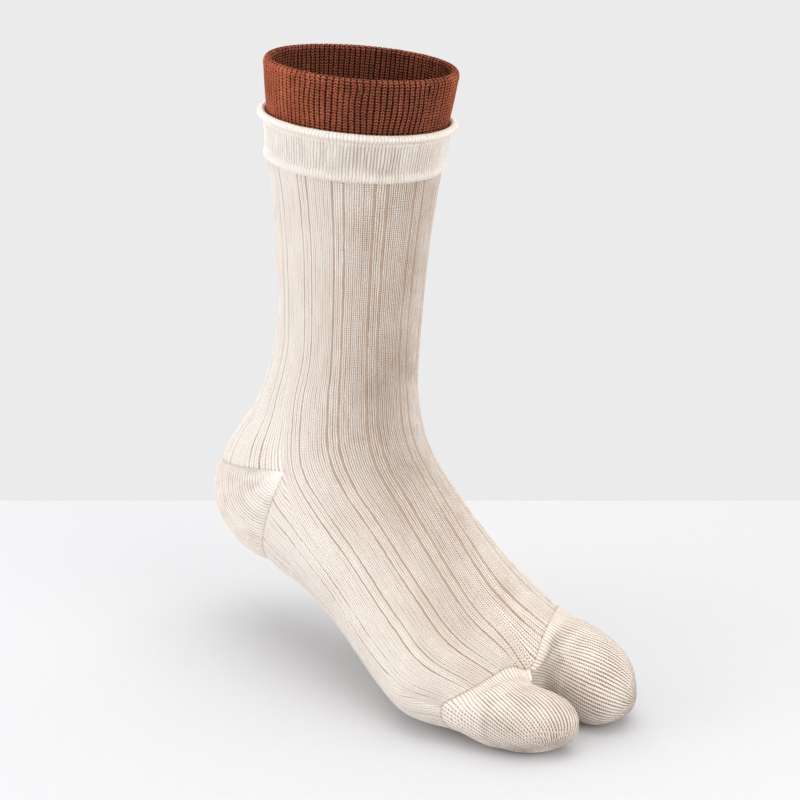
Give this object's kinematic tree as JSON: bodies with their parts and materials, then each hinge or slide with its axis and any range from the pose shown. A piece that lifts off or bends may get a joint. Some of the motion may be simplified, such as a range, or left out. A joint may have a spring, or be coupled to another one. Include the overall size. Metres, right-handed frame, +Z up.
{
  "type": "tabi sock",
  "caption": "Right-foot split-toe knitted sock, filled out on its forefoot with the heel raised: rolled welt, drop-stitch line pairs, heel and toe pockets, ribbed inner cuff above.",
  "frame": {"origin": "middle of the welt, on the leg's axis, where the leg that fills the sock holds it", "axes": "+Z up the leg, -Y towards the toes, +X towards the big toe's side of this right-foot sock"},
  "size_m": [0.0943, 0.2208, 0.2778],
  "materials": {
    "cream_jersey": "matte fine cotton jersey with pairs of drop-stitch lines",
    "heel_jersey": "matte denser cotton jersey",
    "toe_jersey": "matte denser cotton jersey, coarser wales",
    "cream_rib": "matte cotton rib between two rolled ridges",
    "rust_rib": "matte heathered rust-brown one-by-one rib"
  },
  "bodies": {
    "root": {"leg": "cream_jersey", "foot": "cream_jersey", "heel_pocket": "heel_jersey", "four_toe_pocket": "toe_jersey", "big_toe_pocket": "toe_jersey", "welt": "cream_rib", "inner_cuff": "rust_rib"}
  },
  "joints": []
}
